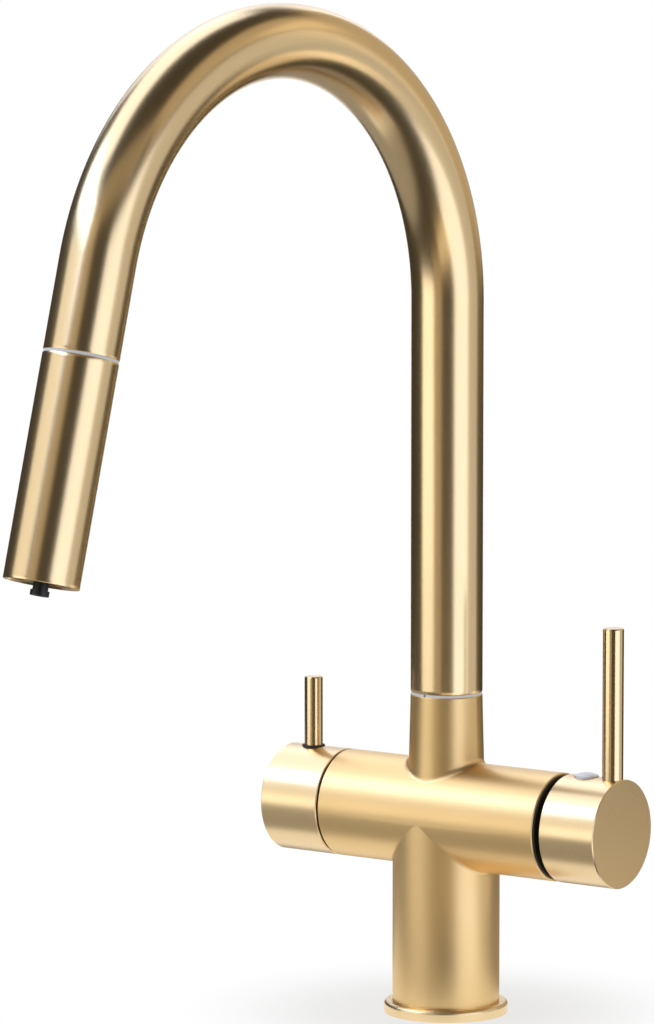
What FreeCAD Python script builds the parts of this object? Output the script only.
import FreeCAD, Part
import math
import os

# A kitchen tap with three water ways: hot and cold through the right handle, filtered
# water through the left one, and a round head that pulls out of a tall bent spout.
# Millimetres. The origin is the centre of the base on the deck plane, +Z is up, the
# spout leans over towards -Y and the mixer handle is on +X.

V = FreeCAD.Vector
UP = V(0, 0, 1)
ALONG_X = V(1, 0, 0)
ALONG_Y = V(0, 1, 0)

# Clearances
SEATED = 0.05            # between pieces that are pressed, screwed or glued together
RUNNING = 0.06           # round a shaft or pin that turns in its bore
FREE = 0.3               # between pieces that pass each other

# Helper lengths for cutting and for finding edges
OVERRUN = 1.0            # a shape runs this far past the face where it is cut or joined
SAME_PLACE = 0.01        # two places closer than this are one
SHORT_EDGE = 1.0         # a crease is longer than this

# Deck fixing
DECK_THICKNESS = 30.0
SHANK_WALL = 1.3
SHANK_DEPTH = 60.0
SHANK_ENGAGEMENT = 16.0
SHANK_EDGE = 1.0
BASE_RING_LIP = 3.3      # past the column
BASE_RING_HEIGHT = 4.5
BASE_RING_ROUND = 1.5
BASE_SEAL_INSET = 1.9    # from the shank
BASE_SEAL_WIDTH = 2.4
BASE_SEAL_DEPTH = 1.6
DECK_WASHER_R = 24.0
DECK_WASHER_THICKNESS = 3.0
CLAMP_WASHER_R = 23.5
CLAMP_WASHER_THICKNESS = 2.0
CLAMP_NUT_FLATS = 41.0
CLAMP_NUT_HEIGHT = 10.0

# Body casting
BARREL_R = 21.0
BARREL_Z = 78.1
BARREL_EDGE = 0.4
COLUMN_STEP = 0.1        # the column is this much thinner than the barrel
COLUMN_CREASE_ROUND = 1.2
NECK_ROUND = 2.5
NECK_FLARE = 0.9         # of the neck's foot past the spout
NECK_TAPER_START = 12.0  # above the barrel's axis
NECK_HEIGHT = 47.4       # above the barrel's axis
NECK_EDGE = 0.3
PORT_FACE_DROP = 28.1    # below the barrel's axis
PORT_R = 3.5
PORT_DEPTH = 8.0
PORT_WALL = 0.6          # between a port and the hose's way
PORT_MARGIN = 0.5        # between a port and the shank's bore
WATER_WAY_R = 2.0
MIXED_PORT_DEG = 0.0     # round the column, from the mixer handle
INLET_PORT_DEG = 60.0
FILTER_INLET_DEG = -120.0
FILTER_OUTLET_DEG = 180.0
HOSE_WAY_GAP = 0.6

# Spout
TUBE_R = 14.0
TUBE_WALL = 1.2
TUBE_EDGE = 0.3
RISER_LENGTH = 152.4
ARC_R = 103.2
HEAD_TILT_DEG = 15.36
OUTLET_RUN = 34.2
SPOUT_TURN_DEG = -4.3    # how far the spout stands from square to the handles

# Swivel in the neck
GLIDE_RING_THICKNESS = 1.0
GLIDE_RING_INSET = 0.25
GLIDE_RING_SPLIT = 0.8
NIPPLE_R = 11.0
NIPPLE_BORE_R = 9.0
NIPPLE_DEPTH = 22.9      # below the neck's top
NIPPLE_GRIP = 20.0       # inside the tube
FOOT_RING_THICKNESS = 2.0
O_RING_SECTION_R = 0.6
NECK_O_RING_DEPTHS = (6.5, 12.5)
STOP_GROOVE_DEPTH = 1.2
STOP_GROOVE_WIDTH = 3.4
STOP_GROOVE_DROP = 18.5  # below the neck's top
STOP_SCREW_R = 2.5
STOP_SCREW_TIP_R = 1.3
STOP_SCREW_LENGTH = 2.2
STOP_SCREW_SOCKET_R = 1.4
STOP_SCREW_SOCKET_DEPTH = 1.4

# Hoses
HOSE_R = 6.5
HOSE_WALL = 1.7
HOSE_INSET = 8.0         # from the shank's lower end
FILTER_TUBE_R = 3.0
FILTER_TUBE_WALL = 1.0
FILTER_TUBE_IN_DUCT = 16.0
HOSE_GUIDE_LENGTH = 21.0
HOSE_GUIDE_INSET = 0.5
TAIL_WALL = 0.45
TAIL_CRIMP = 12.0
TAIL_SHOULDER = 4.0
TAIL_STUB_R = 5.6
TAIL_STUB_LENGTH = 8.0
FILTER_TUBE_TAIL = 6.0

# Mixer cartridge, along the barrel's axis from the centre of the body
CHAMBER_FLOOR = 14.0
CARTRIDGE_R = 17.4
CARTRIDGE_BASE_THICKNESS = 3.5
CARTRIDGE_WALL = 1.5
CARTRIDGE_LID = 2.7
PEG_R = 1.5
PEG_LENGTH = 2.0
PEG_PLACE = 9.0
SEAL_R = 4.55
SEAL_BORE_R = 3.0
SEAL_THICKNESS = 1.6
CHAMBER_PORT_R = 2.2
MIXED_PORT_DROP = 8.5
INLET_PORT_RISE = 4.0
FIXED_DISC_THICKNESS = 3.5
MOVING_DISC_R = 12.0
MOVING_DISC_THICKNESS = 3.5
MIXING_POCKET_R = 8.5
MIXING_POCKET_DEPTH = 2.0
MIXING_POCKET_DROP = 1.5
SLIDER_THICKNESS = 4.5
SLIDER_HALF_WIDTH = 8.7
SLIDER_PEG_R = 1.0
SLIDER_PEG_LENGTH = 0.9
SLIDER_PEG_PLACE = 7.5
BALL_R = 2.9
STEM_ARM = 7.3           # from the pivot pin to the ball
STEM_WIDTH = 7.0
STEM_NECK_R = 2.2
CARRIER_FLANGE_THICKNESS = 2.0
CARRIER_HUB_R = 9.0
CARRIER_HUB_REACH = 6.5  # past the pivot pin
CARRIER_RAIL_WIDTH = 2.0
CARRIER_RAIL_HALF_LENGTH = 9.0
CARRIER_SLOT_LOW = 6.2
CARRIER_SLOT_HIGH = 5.6
PIVOT_PIN_R = 1.5
PIVOT_PIN_INSET = 0.5    # from the hub's side
CARTRIDGE_NUT_LENGTH = 6.7
CARTRIDGE_NUT_BORE_R = 11.5
NUT_NOTCH = 3.0
MIXER_MOUTH_DEPTH = 12.3  # from the barrel's end down to the nut
COVER_LIP = 0.6          # how far the dark cover stands past the barrel's end
COVER_WALL = 1.4
COVER_FLANGE_R = 20.2    # the cover's flange lies over the barrel's end
COVER_EDGE = 0.2
COVER_HOLE_R = 11.8

# Mixer handle
MIXER_GAP = 3.2
MIXER_KNOB_LENGTH = 24.55
KNOB_EDGE = 0.35
MIXER_SKIRT_WALL = 2.6
MIXER_SKIRT_DEPTH = 3.8
STEM_IN_KNOB = 12.0
MIXER_LEVER_R = 4.05
MIXER_LEVER_HEIGHT = 58.2
MIXER_LEVER_INSET = 4.45  # from the knob's outer face
MIXER_STUD_R = 3.0
LEVER_SEAT_DEPTH = 2.0
LEVER_STUD_LENGTH = 7.0
LEVER_EDGE = 0.4
BUTTON_R = 4.6
BUTTON_INSET = 8.4       # from the knob's rim
BUTTON_DEPTH = 1.5
BUTTON_GAP = 0.3         # the dark line round the button
BUTTON_RIM = 0.4
BUTTON_DOME = 1.1
GRUB_SCREW_R = 2.5
GRUB_SCREW_LENGTH = 8.0
GRUB_SOCKET_R = 1.4
GRUB_SOCKET_DEPTH = 2.5

# Filter valve, along the barrel's axis from the centre of the body
FILTER_SEAT = 20.0
FILTER_SEAT_HOLE_R = 3.0
FILTER_MOUTH_R = 17.5
FILTER_MOUTH_DEPTH = 8.85
FILTER_SEAL_R = 7.2
FILTER_SEAL_THICKNESS = 2.5
FILTER_DISC_THICKNESS = 3.0
FILTER_DISC_HOLE_R = 2.0
FILTER_DISC_HOLE_PLACE = 4.2
VALVE_SKIRT_WALL = 1.5
VALVE_THREAD_STEP = 1.4
VALVE_THREAD_LENGTH = 7.2
VALVE_WINDOW_WIDTH = 6.0
VALVE_WINDOW_SILL = 1.0
VALVE_HEX_FLATS = 24.0
VALVE_HEX_LENGTH = 5.0
VALVE_NECK_WALL = 3.5
VALVE_NECK_LENGTH = 4.5
SPINDLE_R = 4.0
SPINDLE_FLANGE_THICKNESS = 2.0
SPINDLE_IN_KNOB = 9.85
SPINDLE_O_RING_PLACES = (3.5, 7.0)
SPINDLE_CLIP_THICKNESS = 1.0
SPINDLE_CLIP_DEPTH = 0.7
SPINDLE_CLIP_LIP = 2.2

# Filter handle
FILTER_SEAM = 0.8
FILTER_KNOB_LENGTH = 26.45
FILTER_SKIRT_WALL = 3.0
FILTER_SKIRT_DEPTH = 6.5
FILTER_LEVER_R = 3.6
FILTER_LEVER_HEIGHT = 27.6
FILTER_LEVER_INSET = 10.8
FILTER_STUD_R = 2.5
LEVER_RING_WIDTH = 0.9
LEVER_RING_HEIGHT = 1.0
LEVER_RING_SHOWS = 0.35
FILTER_GRUB_R = 2.0
FILTER_GRUB_LENGTH = 6.0
FILTER_GRUB_INSET = 15.3

# Pull-out head, along its own axis from the middle of the seam
HEAD_LENGTH = 82.6
HEAD_WALL = 1.5
HEAD_RIM = 0.8
SEAM_RING_THICKNESS = 1.0
SEAM_RING_INSET = 0.25
COLLAR_GAP = 0.4         # round the hose nut
COLLAR_DEPTH = 12.0
COLLAR_SKIRT = 3.5
COLLAR_O_RING_PLACE = 8.0
BUSH_WALL = 0.95
BUSH_LENGTH = 19.2
BUSH_LIP = 2.0
CRIMP_WALL = 0.85
CRIMP_LENGTH = 16.0
SWIVEL_FLANGE_LIP = 0.5
SWIVEL_FLANGE_THICKNESS = 2.4
SWIVEL_SPIGOT_WALL = 1.6
SWIVEL_SPIGOT_LENGTH = 5.6
HOSE_NUT_WALL = 0.95
HOSE_NUT_LIP = 2.5
INLET_BOSS_LENGTH = 9.3
THREAD_GRIP = 5.3
CORE_WEB = 2.0
CORE_WALL = 1.95
CORE_RIB_PLACE = 40.0
CORE_RIB_HEIGHT = 4.0
CORE_RIB_WIDTH = 1.6
CORE_RIB_TURNS = (0, 120, 240)
CORE_HUB_WALL = 1.35
DUCT_WALL = 1.04
DUCT_INSET = 6.0         # past the end of the hose's spigot
DUCT_RECESS = 5.1        # from the head's end
AERATOR_LENGTH = 20.6
AERATOR_RECESS = 2.5
AERATOR_WALL = 1.7
AERATOR_LIP = 1.2
AERATOR_LIP_WIDTH = 0.8
SCREEN_THICKNESS = 8.0
SCREEN_HOLE_R = 0.8
SCREEN_HOLES = 14
NOZZLE_R = 2.85
NOZZLE_BORE_R = 1.8
NOZZLE_GRIP = 12.0
NOZZLE_SHOWS = 4.2
NOZZLE_RIM_R = 3.5
NOZZLE_RIM_HEIGHT = 2.0

# Places worked out from the sizes above
COLUMN_R = BARREL_R - COLUMN_STEP
KNOB_R = BARREL_R
BASE_RING_R = COLUMN_R + BASE_RING_LIP
NECK_FOOT_R = TUBE_R + NECK_FLARE
NECK_TOP = BARREL_Z + NECK_HEIGHT
SPOUT_FOOT = NECK_TOP + GLIDE_RING_THICKNESS
ARC_Z = SPOUT_FOOT + RISER_LENGTH
BEND_DEG = 180.0 - HEAD_TILT_DEG
PORT_FACE_Z = BARREL_Z - PORT_FACE_DROP
TUBE_BORE_R = TUBE_R - TUBE_WALL
NECK_BORE_R = NIPPLE_R + RUNNING
NECK_FLOOR = NECK_TOP - NIPPLE_DEPTH - FOOT_RING_THICKNESS
HOSE_WAY_R = HOSE_R + HOSE_WAY_GAP
PORT_PITCH_R = HOSE_WAY_R + PORT_WALL + PORT_R
SHANK_BORE_R = PORT_PITCH_R + PORT_R + PORT_MARGIN
SHANK_R = SHANK_BORE_R + SHANK_WALL
CASTING_BORE_R = SHANK_R + SEATED
BASE_SEAL_INNER_R = SHANK_R + BASE_SEAL_INSET
HOSE_BORE_R = HOSE_R - HOSE_WALL
HOSE_FOOT = SHANK_DEPTH - HOSE_INSET
TAIL_R = HOSE_R + SEATED + TAIL_WALL
FILTER_TUBE_BORE_R = FILTER_TUBE_R - FILTER_TUBE_WALL
CHAMBER_R = CARTRIDGE_R + SEATED
HEAD_BORE_R = TUBE_R - HEAD_WALL
HEAD_TOP = SEAM_RING_THICKNESS / 2
HEAD_END = HEAD_TOP + HEAD_LENGTH
TUBE_END = -SEAM_RING_THICKNESS / 2

# Cartridge stack
DISC_SEAT = CHAMBER_FLOOR + CARTRIDGE_BASE_THICKNESS
MOVING_DISC_SEAT = DISC_SEAT + FIXED_DISC_THICKNESS
SLIDER_SEAT = MOVING_DISC_SEAT + MOVING_DISC_THICKNESS
SLIDER_TOP = SLIDER_SEAT + SLIDER_THICKNESS
FLANGE_SEAT = SLIDER_TOP + FREE
FLANGE_TOP = FLANGE_SEAT + CARRIER_FLANGE_THICKNESS
LID_SEAT = FLANGE_TOP + FREE
CARTRIDGE_END = LID_SEAT + CARTRIDGE_LID
NUT_END = CARTRIDGE_END + CARTRIDGE_NUT_LENGTH
BARREL_RIGHT = NUT_END + MIXER_MOUTH_DEPTH
MIXER_RIM = BARREL_RIGHT + MIXER_GAP
MIXER_FACE = MIXER_RIM + MIXER_KNOB_LENGTH
BALL_PLACE = SLIDER_SEAT + FREE + BALL_R
STEM_PIVOT = BALL_PLACE + STEM_ARM
CARRIER_HUB_END = STEM_PIVOT + CARRIER_HUB_REACH
CARTRIDGE_BORE_R = CARTRIDGE_R - CARTRIDGE_WALL
CARRIER_FLANGE_R = CARTRIDGE_BORE_R - FREE
INLET_PORT_SIDE = PORT_PITCH_R * math.sin(math.radians(INLET_PORT_DEG))

# Filter valve stack
FILTER_DISC_SEAT = FILTER_SEAT + FILTER_SEAL_THICKNESS
FILTER_MOVING_SEAT = FILTER_DISC_SEAT + FILTER_DISC_THICKNESS
SPINDLE_SEAT = FILTER_MOVING_SEAT + FILTER_DISC_THICKNESS
SPINDLE_SHOULDER = SPINDLE_SEAT + SPINDLE_FLANGE_THICKNESS
VALVE_SHOULDER = SPINDLE_SHOULDER + FREE
VALVE_BORE_R = FILTER_SEAL_R + FREE
VALVE_SKIRT_R = VALVE_BORE_R + VALVE_SKIRT_WALL
VALVE_THREAD_R = VALVE_SKIRT_R + VALVE_THREAD_STEP
VALVE_NECK_R = SPINDLE_R + VALVE_NECK_WALL
FILTER_MOUTH = VALVE_SHOULDER + VALVE_THREAD_LENGTH
VALVE_HEX_END = FILTER_MOUTH + VALVE_HEX_LENGTH
VALVE_END = VALVE_HEX_END + VALVE_NECK_LENGTH
CLIP_SEAT = VALVE_END + FREE
BARREL_LEFT = FILTER_MOUTH + FILTER_MOUTH_DEPTH
FILTER_RIM = BARREL_LEFT + FILTER_SEAM
FILTER_FACE = FILTER_RIM + FILTER_KNOB_LENGTH
FILTER_SKIRT_FLOOR = FILTER_RIM + FILTER_SKIRT_DEPTH
SPINDLE_END = FILTER_SKIRT_FLOOR + SPINDLE_IN_KNOB

# Pull-out head
COLLAR_R = TUBE_BORE_R - SEATED - BUSH_WALL - FREE
CRIMP_R = HOSE_R + SEATED + CRIMP_WALL
SWIVEL_FLANGE_R = CRIMP_R + SWIVEL_FLANGE_LIP
SWIVEL_SPIGOT_R = HOSE_BORE_R + SWIVEL_SPIGOT_WALL
SWIVEL_END = SWIVEL_FLANGE_THICKNESS + SWIVEL_SPIGOT_LENGTH
INLET_BOSS_R = SWIVEL_FLANGE_R + FREE
INLET_BOSS_TOP = SWIVEL_FLANGE_THICKNESS + FREE
HOSE_NUT_R = INLET_BOSS_R + SEATED + HOSE_NUT_WALL
COLLAR_BORE_R = HOSE_NUT_R + COLLAR_GAP
DUCT_BORE_R = FILTER_TUBE_R + RUNNING
DUCT_R = DUCT_BORE_R + DUCT_WALL
DUCT_START = SWIVEL_END + DUCT_INSET
DUCT_END = HEAD_END - DUCT_RECESS
AERATOR_END = HEAD_END - AERATOR_RECESS
AERATOR_START = AERATOR_END - AERATOR_LENGTH
AERATOR_BORE_R = HEAD_BORE_R - SEATED - AERATOR_WALL


# Solids of revolution about Z, and where they go

def lathe(outline):
    """Turn a closed outline of (radius, height) points about Z."""
    points = [V(r, 0, h) for r, h in outline]
    face = Part.Face(Part.makePolygon(points + points[:1]))
    return face.revolve(V(0, 0, 0), UP, 360)


def ring(outer, inner, low, high):
    return lathe([(inner, low), (outer, low), (outer, high), (inner, high)])


def bevelled_ring(outer, inner, low, high, low_edge, high_edge):
    """A ring whose outer corners are bevelled."""
    return lathe([(inner, low), (outer - low_edge, low), (outer, low + low_edge),
                  (outer, high - high_edge), (outer - high_edge, high), (inner, high)])


def rod(radius, low, high, x=0.0, y=0.0):
    return Part.makeCylinder(radius, high - low, V(x, y, low), UP)


def bevelled_rod(radius, low, high, edge):
    return lathe([(0, low), (radius, low), (radius, high - edge), (radius - edge, high),
                  (0, high)])


def o_ring(outer, section, height):
    return Part.makeTorus(outer - section, section, V(0, 0, height), UP)


def hexagon(flats, low, high):
    corner = flats / math.sqrt(3)
    points = [V(corner * math.cos(math.radians(a)), corner * math.sin(math.radians(a)), low)
              for a in range(0, 361, 60)]
    return Part.Face(Part.makePolygon(points)).extrude(V(0, 0, high - low))


def block(x0, x1, y0, y1, z0, z1):
    return Part.makeBox(x1 - x0, y1 - y0, z1 - z0, V(x0, y0, z0))


def to_right(shape):
    """Lay a piece made along +Z on the barrel's axis, pointing to +X. Its -X side turns up."""
    placed = shape.copy()
    placed.rotate(V(0, 0, 0), ALONG_Y, 90)
    placed.translate(V(0, 0, BARREL_Z))
    return placed


def to_left(shape):
    """Lay a piece made along +Z on the barrel's axis, pointing to -X. Its +X side turns up."""
    placed = shape.copy()
    placed.rotate(V(0, 0, 0), ALONG_Y, -90)
    placed.translate(V(0, 0, BARREL_Z))
    return placed


def turn_with_spout(shape):
    turned = shape.copy()
    turned.rotate(V(0, 0, 0), UP, SPOUT_TURN_DEG)
    return turned


def to_head(shape):
    """Put a piece made along +Z on the head's axis, with its zero in the middle of the seam."""
    placed = shape.copy()
    placed.rotate(V(0, 0, 0), ALONG_X, BEND_DEG)
    bend = math.radians(BEND_DEG)
    way = V(0, -math.sin(bend), math.cos(bend))
    bend_end = V(0, -ARC_R + ARC_R * math.cos(bend), ARC_Z + ARC_R * math.sin(bend))
    placed.translate(bend_end + way * (OUTLET_RUN - TUBE_END))
    return turn_with_spout(placed)


def spout_rod(radius, foot, past_seam):
    """A rod on the spout's centre line, from a height on the riser to a place on the head's axis."""
    riser = rod(radius, foot, ARC_Z)
    section = Part.Face(Part.Wire(Part.makeCircle(radius, V(0, 0, ARC_Z), UP)))
    bend = section.revolve(V(0, -ARC_R, ARC_Z), ALONG_X, BEND_DEG)
    outlet = to_head(rod(radius, TUBE_END - OUTLET_RUN, past_seam))
    return turn_with_spout(riser.fuse(bend)).fuse(outlet).removeSplitter()


def hex_socket(screw, radius, depth, top):
    """Cut a hexagon socket into the end of a screw that points up."""
    return screw.cut(hexagon(radius * math.sqrt(3), top - depth, top + OVERRUN))


def drill(shape, holes):
    for hole in holes:
        shape = shape.cut(hole)
    return shape


# Deck fixing

def base_ring():
    seal_groove = ring(BASE_SEAL_INNER_R + BASE_SEAL_WIDTH, BASE_SEAL_INNER_R, -OVERRUN,
                       BASE_SEAL_DEPTH)
    blank = ring(BASE_RING_R, CASTING_BORE_R, 0, BASE_RING_HEIGHT)
    top_edges = [e for e in blank.Edges
                 if e.BoundBox.ZMin > BASE_RING_HEIGHT - SAME_PLACE
                 and e.BoundBox.XLength > 2 * BASE_RING_R - SAME_PLACE]
    return blank.makeFillet(BASE_RING_ROUND, top_edges).cut(seal_groove)


def base_seal():
    return ring(BASE_SEAL_INNER_R + BASE_SEAL_WIDTH - SEATED, BASE_SEAL_INNER_R + SEATED, 0,
                BASE_SEAL_DEPTH)


def mounting_shank():
    top = BASE_RING_HEIGHT + SHANK_ENGAGEMENT
    return bevelled_ring(SHANK_R, SHANK_BORE_R, -SHANK_DEPTH, top, SHANK_EDGE, SHANK_EDGE)


def deck_washer():
    high = -DECK_THICKNESS
    return ring(DECK_WASHER_R, CASTING_BORE_R, high - DECK_WASHER_THICKNESS, high)


def clamp_washer():
    high = -DECK_THICKNESS - DECK_WASHER_THICKNESS
    return ring(CLAMP_WASHER_R, CASTING_BORE_R, high - CLAMP_WASHER_THICKNESS, high)


def clamp_nut():
    high = -DECK_THICKNESS - DECK_WASHER_THICKNESS - CLAMP_WASHER_THICKNESS
    low = high - CLAMP_NUT_HEIGHT
    corner = CLAMP_NUT_FLATS / math.sqrt(3)
    crown = bevelled_ring(corner, CASTING_BORE_R, low, high, corner - CLAMP_NUT_FLATS / 2, 0)
    return crown.common(hexagon(CLAMP_NUT_FLATS, low, high))


# Body casting

def port_place(angle):
    return (PORT_PITCH_R * math.cos(math.radians(angle)),
            PORT_PITCH_R * math.sin(math.radians(angle)))


def water_way(angle, level, reach):
    """A threaded port in the column's roof, drilled on up and then along the barrel."""
    x, y = port_place(angle)
    port = rod(PORT_R, PORT_FACE_Z - OVERRUN, PORT_FACE_Z + PORT_DEPTH, x, y)
    upright = rod(WATER_WAY_R, PORT_FACE_Z, level, x, y)
    elbow = Part.makeSphere(WATER_WAY_R, V(x, y, level))
    cross = Part.makeCylinder(WATER_WAY_R, abs(reach - x), V(min(x, reach), y, level), ALONG_X)
    return port.fuse([upright, elbow, cross])


def casting_blank():
    column = rod(COLUMN_R, BASE_RING_HEIGHT, BARREL_Z)
    barrel = bevelled_ring(BARREL_R, 0, -BARREL_LEFT, BARREL_RIGHT, BARREL_EDGE, BARREL_EDGE)
    neck = lathe([(0, BARREL_Z), (NECK_FOOT_R, BARREL_Z),
                  (NECK_FOOT_R, BARREL_Z + NECK_TAPER_START), (TUBE_R, NECK_TOP - NECK_EDGE),
                  (TUBE_R - NECK_EDGE, NECK_TOP), (0, NECK_TOP)])
    blank = to_right(barrel).fuse([column, neck]).removeSplitter()
    neck_creases = crease_edges(blank, BARREL_Z + NECK_TAPER_START / 2, NECK_TOP - NECK_EDGE)
    blank = blank.makeFillet(NECK_ROUND, neck_creases)
    column_creases = crease_edges(blank, BASE_RING_HEIGHT, BARREL_Z)
    return blank.makeFillet(COLUMN_CREASE_ROUND, column_creases)


def crease_edges(blank, low, high):
    """The edges between the upright parts and the barrel that lie between two heights."""
    reach = COLUMN_R + OVERRUN
    return [e for e in blank.Edges
            if e.BoundBox.ZMin > low and e.BoundBox.ZMax < high
            and max(abs(e.BoundBox.XMin), abs(e.BoundBox.XMax)) < reach
            and min(e.BoundBox.ZLength, e.BoundBox.XLength) > SHORT_EDGE]


def body_casting():
    column_bore = rod(CASTING_BORE_R, BASE_RING_HEIGHT - OVERRUN, PORT_FACE_Z)
    hose_way = rod(HOSE_WAY_R, PORT_FACE_Z - OVERRUN, NECK_FLOOR + OVERRUN)
    neck_bore = rod(NECK_BORE_R, NECK_FLOOR, NECK_TOP + OVERRUN)
    stop_start = V(0, NIPPLE_R - OVERRUN, NECK_TOP - STOP_GROOVE_DROP)
    stop_hole = Part.makeCylinder(STOP_SCREW_R + SEATED, TUBE_R, stop_start, ALONG_Y)
    chamber = to_right(rod(CHAMBER_R, CHAMBER_FLOOR, BARREL_RIGHT + OVERRUN))
    pegs = [to_right(peg) for peg in cartridge_pegs(PEG_R + SEATED)]
    filter_bore = to_left(rod(VALVE_THREAD_R + SEATED, FILTER_SEAT, BARREL_LEFT))
    filter_mouth = to_left(rod(FILTER_MOUTH_R, FILTER_MOUTH, BARREL_LEFT + OVERRUN))
    seat_hole = to_left(rod(FILTER_SEAT_HOLE_R, CHAMBER_FLOOR, FILTER_SEAT + OVERRUN))
    ways = [
        water_way(MIXED_PORT_DEG, BARREL_Z - MIXED_PORT_DROP, CHAMBER_FLOOR + OVERRUN),
        water_way(INLET_PORT_DEG, BARREL_Z + INLET_PORT_RISE, CHAMBER_FLOOR + OVERRUN),
        water_way(-INLET_PORT_DEG, BARREL_Z + INLET_PORT_RISE, CHAMBER_FLOOR + OVERRUN),
        water_way(FILTER_INLET_DEG, BARREL_Z, -FILTER_SEAT - OVERRUN),
        water_way(FILTER_OUTLET_DEG, BARREL_Z, -FILTER_SEAT + OVERRUN),
    ]
    return drill(casting_blank(), [column_bore, hose_way, neck_bore, stop_hole, chamber,
                                   filter_bore, filter_mouth, seat_hole] + pegs + ways)


# Swivel in the neck

def glide_ring():
    whole = ring(TUBE_R - GLIDE_RING_INSET, NECK_BORE_R + FREE, NECK_TOP, SPOUT_FOOT)
    split = block(-GLIDE_RING_SPLIT / 2, GLIDE_RING_SPLIT / 2, -TUBE_R, 0,
                  NECK_TOP - OVERRUN, SPOUT_FOOT + OVERRUN)
    return turn_with_spout(whole.cut(split))


def foot_ring():
    return ring(NIPPLE_R, HOSE_WAY_R + FREE, NECK_FLOOR, NECK_FLOOR + FOOT_RING_THICKNESS)


def swivel_nipple():
    foot = NECK_TOP - NIPPLE_DEPTH
    blank = lathe([(NIPPLE_BORE_R, foot), (NIPPLE_R, foot), (NIPPLE_R, SPOUT_FOOT),
                   (TUBE_BORE_R - SEATED, SPOUT_FOOT),
                   (TUBE_BORE_R - SEATED, SPOUT_FOOT + NIPPLE_GRIP),
                   (NIPPLE_BORE_R, SPOUT_FOOT + NIPPLE_GRIP)])
    stop_middle = NECK_TOP - STOP_GROOVE_DROP
    grooves = [ring(NIPPLE_R + OVERRUN, NIPPLE_R - STOP_GROOVE_DEPTH,
                    stop_middle - STOP_GROOVE_WIDTH / 2, stop_middle + STOP_GROOVE_WIDTH / 2)]
    for depth in NECK_O_RING_DEPTHS:
        grooves.append(ring(NIPPLE_R + OVERRUN, NIPPLE_R - 2 * O_RING_SECTION_R,
                            NECK_TOP - depth - O_RING_SECTION_R,
                            NECK_TOP - depth + O_RING_SECTION_R))
    return drill(blank, grooves)


def neck_o_rings():
    return Part.makeCompound([o_ring(NIPPLE_R, O_RING_SECTION_R, NECK_TOP - depth)
                              for depth in NECK_O_RING_DEPTHS])


def stop_screw():
    tip_start = NIPPLE_R - STOP_GROOVE_DEPTH + FREE
    body_start = NECK_BORE_R + FREE
    body_end = body_start + STOP_SCREW_LENGTH
    screw = rod(STOP_SCREW_TIP_R, tip_start, body_start).fuse(
        rod(STOP_SCREW_R, body_start, body_end))
    screw = hex_socket(screw, STOP_SCREW_SOCKET_R, STOP_SCREW_SOCKET_DEPTH, body_end)
    screw.rotate(V(0, 0, 0), ALONG_X, -90)
    screw.translate(V(0, 0, NECK_TOP - STOP_GROOVE_DROP))
    return screw


# Spout and hoses

def spout_tube():
    inside = spout_rod(TUBE_BORE_R, SPOUT_FOOT - OVERRUN, TUBE_END + OVERRUN)
    outside = spout_rod(TUBE_R, SPOUT_FOOT, TUBE_END)
    ends = [e for e in outside.Edges
            if e.BoundBox.ZMax < SPOUT_FOOT + SAME_PLACE or is_outlet_edge(e)]
    return outside.makeChamfer(TUBE_EDGE, ends).cut(inside)


def is_outlet_edge(edge):
    """True for the circle at the spout's outlet, the lowest far one."""
    outlet = to_head(Part.Vertex(0, 0, TUBE_END)).Point
    return edge.BoundBox.Center.distanceToPoint(outlet) < SAME_PLACE


def hose_guide():
    low = NECK_TOP - NIPPLE_DEPTH + HOSE_GUIDE_INSET
    return ring(NIPPLE_BORE_R - SEATED, HOSE_R + FREE, low, low + HOSE_GUIDE_LENGTH)


def pull_out_hose():
    bore = spout_rod(HOSE_BORE_R, -HOSE_FOOT - OVERRUN, OVERRUN)
    return spout_rod(HOSE_R, -HOSE_FOOT, 0).cut(bore)


def filtered_tube():
    foot = -HOSE_FOOT - TAIL_SHOULDER - TAIL_STUB_LENGTH - FILTER_TUBE_TAIL
    end = DUCT_START + FILTER_TUBE_IN_DUCT
    bore = spout_rod(FILTER_TUBE_BORE_R, foot - OVERRUN, end + OVERRUN)
    return spout_rod(FILTER_TUBE_R, foot, end).cut(bore)


def hose_tail():
    shoulder = -HOSE_FOOT - TAIL_SHOULDER
    end = shoulder - TAIL_STUB_LENGTH
    return lathe([(HOSE_BORE_R, end), (TAIL_STUB_R, end), (TAIL_STUB_R, shoulder),
                  (TAIL_R, shoulder), (TAIL_R, -HOSE_FOOT + TAIL_CRIMP),
                  (HOSE_R + SEATED, -HOSE_FOOT + TAIL_CRIMP), (HOSE_R + SEATED, -HOSE_FOOT),
                  (HOSE_BORE_R, -HOSE_FOOT)])


def docking_bush():
    bore = COLLAR_R + FREE
    top = TUBE_END - FREE - BUSH_LENGTH
    return to_head(lathe([(COLLAR_BORE_R, top), (TUBE_BORE_R - SEATED, top),
                          (TUBE_BORE_R - SEATED, TUBE_END - FREE), (bore, TUBE_END - FREE),
                          (bore, top + BUSH_LIP), (COLLAR_BORE_R, top + BUSH_LIP)]))


# Mixer cartridge

def chamber_ports(radius, low, high):
    """The three ports of the cartridge: mixed water below, cold and hot above."""
    places = [(MIXED_PORT_DROP, 0), (-INLET_PORT_RISE, INLET_PORT_SIDE),
              (-INLET_PORT_RISE, -INLET_PORT_SIDE)]
    return [rod(radius, low, high, x, y) for x, y in places]


def cartridge_pegs(radius):
    return [rod(radius, CHAMBER_FLOOR - PEG_LENGTH, CHAMBER_FLOOR + OVERRUN, PEG_PLACE, side)
            for side in (-PEG_PLACE, PEG_PLACE)]


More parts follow.
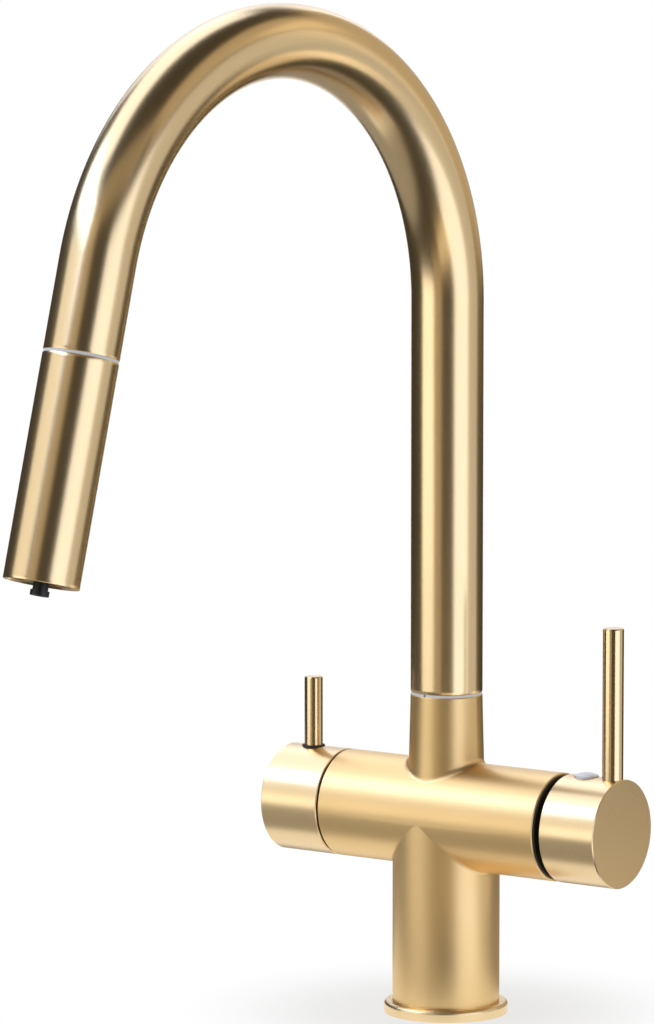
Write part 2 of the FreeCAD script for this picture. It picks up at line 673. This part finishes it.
def cartridge_base():
    plate = rod(CARTRIDGE_R, CHAMBER_FLOOR, DISC_SEAT).fuse(cartridge_pegs(PEG_R))
    pockets = chamber_ports(SEAL_R + SEATED, CHAMBER_FLOOR - OVERRUN,
                            CHAMBER_FLOOR + SEAL_THICKNESS)
    holes = chamber_ports(CHAMBER_PORT_R, CHAMBER_FLOOR, DISC_SEAT + OVERRUN)
    return to_right(drill(plate, pockets + holes))


def cartridge_seals():
    top = CHAMBER_FLOOR + SEAL_THICKNESS
    outers = chamber_ports(SEAL_R, CHAMBER_FLOOR, top)
    inners = chamber_ports(SEAL_BORE_R, CHAMBER_FLOOR - OVERRUN, top + OVERRUN)
    return Part.makeCompound([to_right(outer.cut(inner))
                              for outer, inner in zip(outers, inners)])


def fixed_disc():
    disc = rod(CARTRIDGE_BORE_R - SEATED, DISC_SEAT, MOVING_DISC_SEAT)
    ports = chamber_ports(CHAMBER_PORT_R, DISC_SEAT - OVERRUN, MOVING_DISC_SEAT + OVERRUN)
    return to_right(drill(disc, ports))


def slider_pegs(radius):
    return [rod(radius, SLIDER_SEAT - SLIDER_PEG_LENGTH, SLIDER_SEAT, x, 0)
            for x in (-SLIDER_PEG_PLACE, SLIDER_PEG_PLACE)]


def moving_disc():
    disc = rod(MOVING_DISC_R, MOVING_DISC_SEAT, SLIDER_SEAT)
    pocket = rod(MIXING_POCKET_R, MOVING_DISC_SEAT - OVERRUN,
                 MOVING_DISC_SEAT + MIXING_POCKET_DEPTH, MIXING_POCKET_DROP, 0)
    return to_right(drill(disc, [pocket] + slider_pegs(SLIDER_PEG_R + SEATED)))


def disc_slider():
    plate = rod(MOVING_DISC_R, SLIDER_SEAT, SLIDER_TOP)
    plate = plate.common(block(-MOVING_DISC_R, MOVING_DISC_R, -SLIDER_HALF_WIDTH,
                               SLIDER_HALF_WIDTH, SLIDER_SEAT, SLIDER_TOP))
    ball_hole = rod(BALL_R + FREE, SLIDER_SEAT - OVERRUN, SLIDER_TOP + OVERRUN)
    return to_right(plate.fuse(slider_pegs(SLIDER_PEG_R)).cut(ball_hole))


def mixer_carrier():
    flange = rod(CARRIER_FLANGE_R, FLANGE_SEAT, FLANGE_TOP)
    hub = rod(CARRIER_HUB_R, FLANGE_TOP, CARRIER_HUB_END)
    rail_inside = SLIDER_HALF_WIDTH + FREE
    rails = [block(-CARRIER_RAIL_HALF_LENGTH, CARRIER_RAIL_HALF_LENGTH, rail_inside,
                   rail_inside + CARRIER_RAIL_WIDTH, SLIDER_SEAT + FREE, FLANGE_SEAT)]
    rails.append(rails[0].mirror(V(0, 0, 0), ALONG_Y))
    slot_half = STEM_WIDTH / 2 + FREE
    slot = block(-CARRIER_SLOT_HIGH, CARRIER_SLOT_LOW, -slot_half, slot_half,
                 FLANGE_SEAT - OVERRUN, CARRIER_HUB_END + OVERRUN)
    return to_right(flange.fuse([hub] + rails).cut(slot).cut(pivot_hole(PIVOT_PIN_R + SEATED)))


def pivot_hole(radius, length=2 * CARTRIDGE_R):
    return Part.makeCylinder(radius, length, V(0, -length / 2, STEM_PIVOT), ALONG_Y)


def pivot_pin():
    return to_right(pivot_hole(PIVOT_PIN_R, 2 * (CARRIER_HUB_R - PIVOT_PIN_INSET)))


def cartridge_housing():
    return to_right(lathe([(CARTRIDGE_BORE_R, DISC_SEAT), (CARTRIDGE_R, DISC_SEAT),
                           (CARTRIDGE_R, CARTRIDGE_END), (CARRIER_HUB_R + RUNNING, CARTRIDGE_END),
                           (CARRIER_HUB_R + RUNNING, LID_SEAT), (CARTRIDGE_BORE_R, LID_SEAT)]))


def cartridge_nut():
    nut = ring(CARTRIDGE_R, CARTRIDGE_NUT_BORE_R, CARTRIDGE_END, NUT_END)
    half = NUT_NOTCH / 2
    low = NUT_END - NUT_NOTCH
    across = block(-half, half, -CARTRIDGE_R, CARTRIDGE_R, low, NUT_END + OVERRUN)
    along = block(-CARTRIDGE_R, CARTRIDGE_R, -half, half, low, NUT_END + OVERRUN)
    return to_right(nut.cut(across).cut(along))


def mixer_cover():
    flange = BARREL_RIGHT + SEATED
    end = BARREL_RIGHT + COVER_LIP
    return to_right(lathe([(CARTRIDGE_R - COVER_WALL, NUT_END), (CARTRIDGE_R, NUT_END),
                           (CARTRIDGE_R, flange), (COVER_FLANGE_R, flange),
                           (COVER_FLANGE_R, end - COVER_EDGE), (COVER_FLANGE_R - COVER_EDGE, end),
                           (COVER_HOLE_R, end), (COVER_HOLE_R, end - COVER_WALL),
                           (CARTRIDGE_R - COVER_WALL, end - COVER_WALL)]))


# Mixer handle

def mixer_stem():
    end = MIXER_RIM + MIXER_SKIRT_DEPTH + STEM_IN_KNOB
    half = STEM_WIDTH / 2
    ball = Part.makeSphere(BALL_R, V(0, 0, BALL_PLACE))
    neck = rod(STEM_NECK_R, BALL_PLACE, STEM_PIVOT)
    pivot_block = Part.makeCylinder(half, STEM_WIDTH, V(0, -half, STEM_PIVOT), ALONG_Y)
    bar = block(-half, half, -half, half, STEM_PIVOT, end)
    stem = ball.fuse([neck, pivot_block, bar]).removeSplitter()
    return to_right(stem.cut(pivot_hole(PIVOT_PIN_R + RUNNING)))


def button_place():
    return MIXER_RIM + BUTTON_INSET


def upright(shape, place):
    """Stand a piece made along +Z on the barrel's axis, at a place along it."""
    stood = shape.copy()
    stood.translate(V(place, 0, BARREL_Z))
    return stood


def lever_socket(lever_r, stud_r, place):
    seat = rod(lever_r + SEATED, KNOB_R - LEVER_SEAT_DEPTH, KNOB_R + OVERRUN)
    stud_hole = rod(stud_r + SEATED, KNOB_R - LEVER_SEAT_DEPTH - LEVER_STUD_LENGTH, KNOB_R)
    return upright(seat.fuse(stud_hole), place)


def lever(lever_r, stud_r, height, place):
    foot = KNOB_R - LEVER_SEAT_DEPTH
    stick = bevelled_rod(lever_r, foot, KNOB_R + height, LEVER_EDGE)
    return upright(stick.fuse(rod(stud_r, foot - LEVER_STUD_LENGTH, foot)), place)


def mixer_lever_place():
    return MIXER_FACE - MIXER_LEVER_INSET


def mixer_knob():
    blank = bevelled_ring(KNOB_R, 0, MIXER_RIM, MIXER_FACE, KNOB_EDGE, KNOB_EDGE)
    floor = MIXER_RIM + MIXER_SKIRT_DEPTH
    skirt = rod(KNOB_R - MIXER_SKIRT_WALL, MIXER_RIM - OVERRUN, floor)
    half = STEM_WIDTH / 2 + SEATED
    stem_hole = block(-half, half, -half, half, floor - OVERRUN, floor + STEM_IN_KNOB + FREE)
    knob = to_right(blank.cut(skirt).cut(stem_hole))
    button_seat = rod(BUTTON_R + BUTTON_GAP, KNOB_R - BUTTON_DEPTH, KNOB_R + OVERRUN)
    screw_hole = rod(GRUB_SCREW_R + SEATED, 0, KNOB_R)
    return drill(knob, [lever_socket(MIXER_LEVER_R, MIXER_STUD_R, mixer_lever_place()),
                        upright(button_seat, button_place()),
                        upright(screw_hole, button_place())])


def mixer_lever():
    return lever(MIXER_LEVER_R, MIXER_STUD_R, MIXER_LEVER_HEIGHT, mixer_lever_place())


def grub_screw(radius, length, foot):
    screw = bevelled_rod(radius, foot, foot + length, LEVER_EDGE)
    return hex_socket(screw, GRUB_SOCKET_R, GRUB_SOCKET_DEPTH, foot + length)


def mixer_grub_screw():
    screw = grub_screw(GRUB_SCREW_R, GRUB_SCREW_LENGTH, STEM_WIDTH / 2)
    return upright(screw, button_place())


def index_button():
    low = KNOB_R - BUTTON_DEPTH
    high = KNOB_R + BUTTON_RIM
    dome_r = (BUTTON_R ** 2 + BUTTON_DOME ** 2) / (2 * BUTTON_DOME)
    dome = Part.makeSphere(dome_r, V(0, 0, high + BUTTON_DOME - dome_r))
    button = rod(BUTTON_R, low, high + BUTTON_DOME).common(dome.fuse(rod(BUTTON_R, low, high)))
    return upright(button.removeSplitter(), button_place())


# Filter valve

def filter_disc(low, high, turn):
    """A ceramic disc with two round openings, turned by an angle about its axis."""
    disc = rod(FILTER_SEAL_R, low, high)
    for place in (-FILTER_DISC_HOLE_PLACE, FILTER_DISC_HOLE_PLACE):
        disc = disc.cut(rod(FILTER_DISC_HOLE_R, low - OVERRUN, high + OVERRUN, place, 0))
    disc.rotate(V(0, 0, 0), UP, turn)
    return to_left(disc)


def filter_seat_seal():
    return to_left(ring(FILTER_SEAL_R, FILTER_DISC_HOLE_PLACE + FILTER_DISC_HOLE_R,
                        FILTER_SEAT, FILTER_DISC_SEAT))


def filter_fixed_disc():
    return filter_disc(FILTER_DISC_SEAT, FILTER_MOVING_SEAT, 0)


def filter_moving_disc():
    return filter_disc(FILTER_MOVING_SEAT, SPINDLE_SEAT, 90)


def filter_spindle():
    clip_floor = SPINDLE_R - SPINDLE_CLIP_DEPTH
    spindle = lathe([(0, SPINDLE_SEAT), (FILTER_SEAL_R, SPINDLE_SEAT),
                     (FILTER_SEAL_R, SPINDLE_SHOULDER), (SPINDLE_R, SPINDLE_SHOULDER),
                     (SPINDLE_R, CLIP_SEAT), (clip_floor, CLIP_SEAT),
                     (clip_floor, CLIP_SEAT + SPINDLE_CLIP_THICKNESS),
                     (SPINDLE_R, CLIP_SEAT + SPINDLE_CLIP_THICKNESS),
                     (SPINDLE_R, SPINDLE_END), (0, SPINDLE_END)])
    grooves = [ring(SPINDLE_R + OVERRUN, SPINDLE_R - 2 * O_RING_SECTION_R,
                    VALVE_SHOULDER + place - O_RING_SECTION_R,
                    VALVE_SHOULDER + place + O_RING_SECTION_R)
               for place in SPINDLE_O_RING_PLACES]
    return to_left(drill(spindle, grooves))


def spindle_o_rings():
    return Part.makeCompound([to_left(o_ring(SPINDLE_R, O_RING_SECTION_R, VALVE_SHOULDER + place))
                              for place in SPINDLE_O_RING_PLACES])


def spindle_clip():
    outer = SPINDLE_R + SPINDLE_CLIP_LIP
    clip = ring(outer, SPINDLE_R - SPINDLE_CLIP_DEPTH, CLIP_SEAT,
                CLIP_SEAT + SPINDLE_CLIP_THICKNESS)
    gap = block(0, outer + OVERRUN, -SPINDLE_R / 2, SPINDLE_R / 2, CLIP_SEAT - OVERRUN,
                CLIP_SEAT + SPINDLE_CLIP_THICKNESS + OVERRUN)
    return to_left(clip.cut(gap))


def filter_valve_body():
    threaded = lathe([(VALVE_BORE_R, FILTER_DISC_SEAT), (VALVE_SKIRT_R, FILTER_DISC_SEAT),
                      (VALVE_SKIRT_R, VALVE_SHOULDER), (VALVE_THREAD_R, VALVE_SHOULDER),
                      (VALVE_THREAD_R, FILTER_MOUTH), (VALVE_NECK_R, FILTER_MOUTH),
                      (VALVE_NECK_R, VALVE_END), (SPINDLE_R + RUNNING, VALVE_END),
                      (SPINDLE_R + RUNNING, VALVE_SHOULDER), (VALVE_BORE_R, VALVE_SHOULDER)])
    nut = hexagon(VALVE_HEX_FLATS, FILTER_MOUTH, VALVE_HEX_END).cut(
        rod(VALVE_NECK_R, FILTER_MOUTH - OVERRUN, VALVE_HEX_END + OVERRUN))
    half = VALVE_WINDOW_WIDTH / 2
    reach = VALVE_SKIRT_R + OVERRUN
    window = block(-reach, reach, -half, half, FILTER_DISC_SEAT + VALVE_WINDOW_SILL,
                   SPINDLE_SEAT)
    return to_left(threaded.fuse(nut).removeSplitter().cut(window))


# Filter handle

def filter_lever_place():
    return -(FILTER_FACE - FILTER_LEVER_INSET)


def filter_grub_place():
    return -(FILTER_FACE - FILTER_GRUB_INSET)


def filter_knob():
    blank = bevelled_ring(KNOB_R, 0, FILTER_RIM, FILTER_FACE, KNOB_EDGE, KNOB_EDGE)
    skirt = rod(KNOB_R - FILTER_SKIRT_WALL, FILTER_RIM - OVERRUN, FILTER_SKIRT_FLOOR)
    spindle_hole = rod(SPINDLE_R + SEATED, FILTER_SKIRT_FLOOR - OVERRUN, SPINDLE_END + FREE)
    knob = to_left(blank.cut(skirt).cut(spindle_hole))
    ring_seat = rod(FILTER_LEVER_R + LEVER_RING_WIDTH + SEATED,
                    KNOB_R + LEVER_RING_SHOWS - LEVER_RING_HEIGHT, KNOB_R + OVERRUN)
    screw_hole = rod(FILTER_GRUB_R + SEATED, -KNOB_R - OVERRUN, 0)
    return drill(knob, [lever_socket(FILTER_LEVER_R, FILTER_STUD_R, filter_lever_place()),
                        upright(ring_seat, filter_lever_place()),
                        upright(screw_hole, filter_grub_place())])


def filter_lever():
    return lever(FILTER_LEVER_R, FILTER_STUD_R, FILTER_LEVER_HEIGHT, filter_lever_place())


def filter_lever_ring():
    high = KNOB_R + LEVER_RING_SHOWS
    band = ring(FILTER_LEVER_R + LEVER_RING_WIDTH, FILTER_LEVER_R + SEATED,
                high - LEVER_RING_HEIGHT, high)
    return upright(band, filter_lever_place())


def filter_grub_screw():
    screw = grub_screw(FILTER_GRUB_R, FILTER_GRUB_LENGTH, SPINDLE_R + SEATED)
    screw.rotate(V(0, 0, 0), ALONG_X, 180)
    return upright(screw, filter_grub_place())


# Pull-out head

def docking_collar():
    groove = ring(COLLAR_R + OVERRUN, COLLAR_R + FREE - RUNNING - 2 * O_RING_SECTION_R,
                  -COLLAR_O_RING_PLACE - O_RING_SECTION_R,
                  -COLLAR_O_RING_PLACE + O_RING_SECTION_R)
    skirt_end = HEAD_TOP + COLLAR_SKIRT
    seam_r = TUBE_R - SEAM_RING_INSET
    collar = lathe([(COLLAR_BORE_R, -COLLAR_DEPTH), (COLLAR_R, -COLLAR_DEPTH),
                    (COLLAR_R, TUBE_END), (seam_r, TUBE_END), (seam_r, HEAD_TOP),
                    (HEAD_BORE_R - SEATED, HEAD_TOP), (HEAD_BORE_R - SEATED, skirt_end),
                    (COLLAR_BORE_R, skirt_end)])
    return to_head(collar.cut(groove))


def docking_o_ring():
    return to_head(o_ring(COLLAR_R + FREE - RUNNING, O_RING_SECTION_R, -COLLAR_O_RING_PLACE))


def swivel_o_ring_place():
    return SWIVEL_FLANGE_THICKNESS + SWIVEL_SPIGOT_LENGTH / 2


def hose_swivel():
    """The hose's end fitting: a crimped sleeve, a flange held by the nut, and a spigot."""
    fitting = lathe([(HOSE_R + SEATED, -CRIMP_LENGTH), (CRIMP_R, -CRIMP_LENGTH), (CRIMP_R, 0),
                     (SWIVEL_FLANGE_R, 0), (SWIVEL_FLANGE_R, SWIVEL_FLANGE_THICKNESS),
                     (SWIVEL_SPIGOT_R, SWIVEL_FLANGE_THICKNESS), (SWIVEL_SPIGOT_R, SWIVEL_END),
                     (HOSE_BORE_R, SWIVEL_END), (HOSE_BORE_R, 0), (HOSE_R + SEATED, 0)])
    middle = swivel_o_ring_place()
    groove = ring(SWIVEL_SPIGOT_R + OVERRUN, SWIVEL_SPIGOT_R - 2 * O_RING_SECTION_R,
                  middle - O_RING_SECTION_R, middle + O_RING_SECTION_R)
    return to_head(fitting.cut(groove))


def swivel_o_ring():
    return to_head(o_ring(SWIVEL_SPIGOT_R, O_RING_SECTION_R, swivel_o_ring_place()))


def hose_nut():
    cavity_r = INLET_BOSS_R + SEATED
    end = INLET_BOSS_TOP + THREAD_GRIP
    nut = lathe([(CRIMP_R + RUNNING, -FREE - HOSE_NUT_LIP), (HOSE_NUT_R, -FREE - HOSE_NUT_LIP),
                 (HOSE_NUT_R, end), (cavity_r, end), (cavity_r, -FREE),
                 (CRIMP_R + RUNNING, -FREE)])
    return to_head(nut)


def head_core():
    web = INLET_BOSS_TOP + INLET_BOSS_LENGTH
    outer = HEAD_BORE_R - SEATED
    bore = SWIVEL_SPIGOT_R + RUNNING
    inner = outer - CORE_WALL
    shell = lathe([(bore, INLET_BOSS_TOP), (INLET_BOSS_R, INLET_BOSS_TOP), (INLET_BOSS_R, web),
                   (outer, web), (outer, AERATOR_START), (inner, AERATOR_START),
                   (inner, web + CORE_WEB), (bore, web + CORE_WEB)])
    low = CORE_RIB_PLACE
    high = low + CORE_RIB_HEIGHT
    half = CORE_RIB_WIDTH / 2
    rib = block(0, inner + CORE_WALL / 2, -half, half, low, high)
    ribs = []
    for turn in CORE_RIB_TURNS:
        turned = rib.copy()
        turned.rotate(V(0, 0, 0), UP, turn)
        ribs.append(turned)
    hub = rod(DUCT_R + SEATED + CORE_HUB_WALL, low, high)
    duct_hole = rod(DUCT_R + SEATED, low - OVERRUN, high + OVERRUN)
    return to_head(shell.fuse(ribs + [hub]).cut(duct_hole).removeSplitter())


def filtered_duct():
    return to_head(ring(DUCT_R, DUCT_BORE_R, DUCT_START, DUCT_END))


def head_shell():
    rim_bore = HEAD_BORE_R + HEAD_RIM
    return to_head(lathe([(HEAD_BORE_R, HEAD_TOP), (TUBE_R - TUBE_EDGE, HEAD_TOP),
                          (TUBE_R, HEAD_TOP + TUBE_EDGE), (TUBE_R, HEAD_END - TUBE_EDGE),
                          (TUBE_R - TUBE_EDGE, HEAD_END), (rim_bore, HEAD_END),
                          (HEAD_BORE_R, HEAD_END - HEAD_RIM)]))


def aerator_housing():
    outer = HEAD_BORE_R - SEATED
    lip = AERATOR_BORE_R - AERATOR_LIP_WIDTH
    lip_seat = AERATOR_END - AERATOR_LIP
    return to_head(lathe([(AERATOR_BORE_R, AERATOR_START), (outer, AERATOR_START),
                          (outer, AERATOR_END), (lip, AERATOR_END), (lip, lip_seat),
                          (AERATOR_BORE_R, lip_seat)]))


def aerator_screen():
    high = AERATOR_END - AERATOR_LIP
    low = high - SCREEN_THICKNESS
    outer = AERATOR_BORE_R - SEATED
    inner = DUCT_R + SEATED
    screen = ring(outer, inner, low, high)
    pitch_r = (outer + inner) / 2
    step = 2 * math.pi / SCREEN_HOLES
    holes = [rod(SCREEN_HOLE_R, low - OVERRUN, high + OVERRUN, pitch_r * math.cos(i * step),
                 pitch_r * math.sin(i * step)) for i in range(SCREEN_HOLES)]
    return to_head(drill(screen, holes))


def filtered_nozzle():
    end = HEAD_END + NOZZLE_SHOWS
    rim = end - NOZZLE_RIM_HEIGHT
    return to_head(lathe([(NOZZLE_BORE_R, DUCT_END - NOZZLE_GRIP),
                          (FILTER_TUBE_R, DUCT_END - NOZZLE_GRIP), (FILTER_TUBE_R, DUCT_END),
                          (NOZZLE_R, DUCT_END), (NOZZLE_R, rim), (NOZZLE_RIM_R, rim),
                          (NOZZLE_RIM_R, end), (NOZZLE_BORE_R, end)]))


PIECES = [
    base_ring, base_seal, mounting_shank, deck_washer, clamp_washer, clamp_nut, body_casting,
    foot_ring, stop_screw, hose_tail, cartridge_base, cartridge_seals, fixed_disc,
    cartridge_housing, cartridge_nut, mixer_cover, moving_disc, disc_slider, mixer_carrier,
    pivot_pin, mixer_stem, mixer_knob, mixer_lever, mixer_grub_screw, index_button,
    filter_seat_seal, filter_fixed_disc, filter_valve_body, filter_moving_disc,
    filter_spindle, spindle_o_rings, spindle_clip, filter_knob, filter_lever,
    filter_lever_ring, filter_grub_screw, glide_ring, swivel_nipple, neck_o_rings, spout_tube,
    hose_guide, pull_out_hose, filtered_tube, docking_bush, hose_swivel, swivel_o_ring,
    hose_nut, docking_collar, docking_o_ring, head_core, filtered_duct, head_shell,
    aerator_housing, aerator_screen, filtered_nozzle,
]


def write_parts():
    os.makedirs("parts", exist_ok=True)
    for piece in PIECES:
        shape = piece()
        shape.exportStep("parts/" + piece.__name__ + ".step")
        print(piece.__name__, len(shape.Solids), "solids", round(shape.Volume, 1), "mm3",
              shape.isValid())


write_parts()
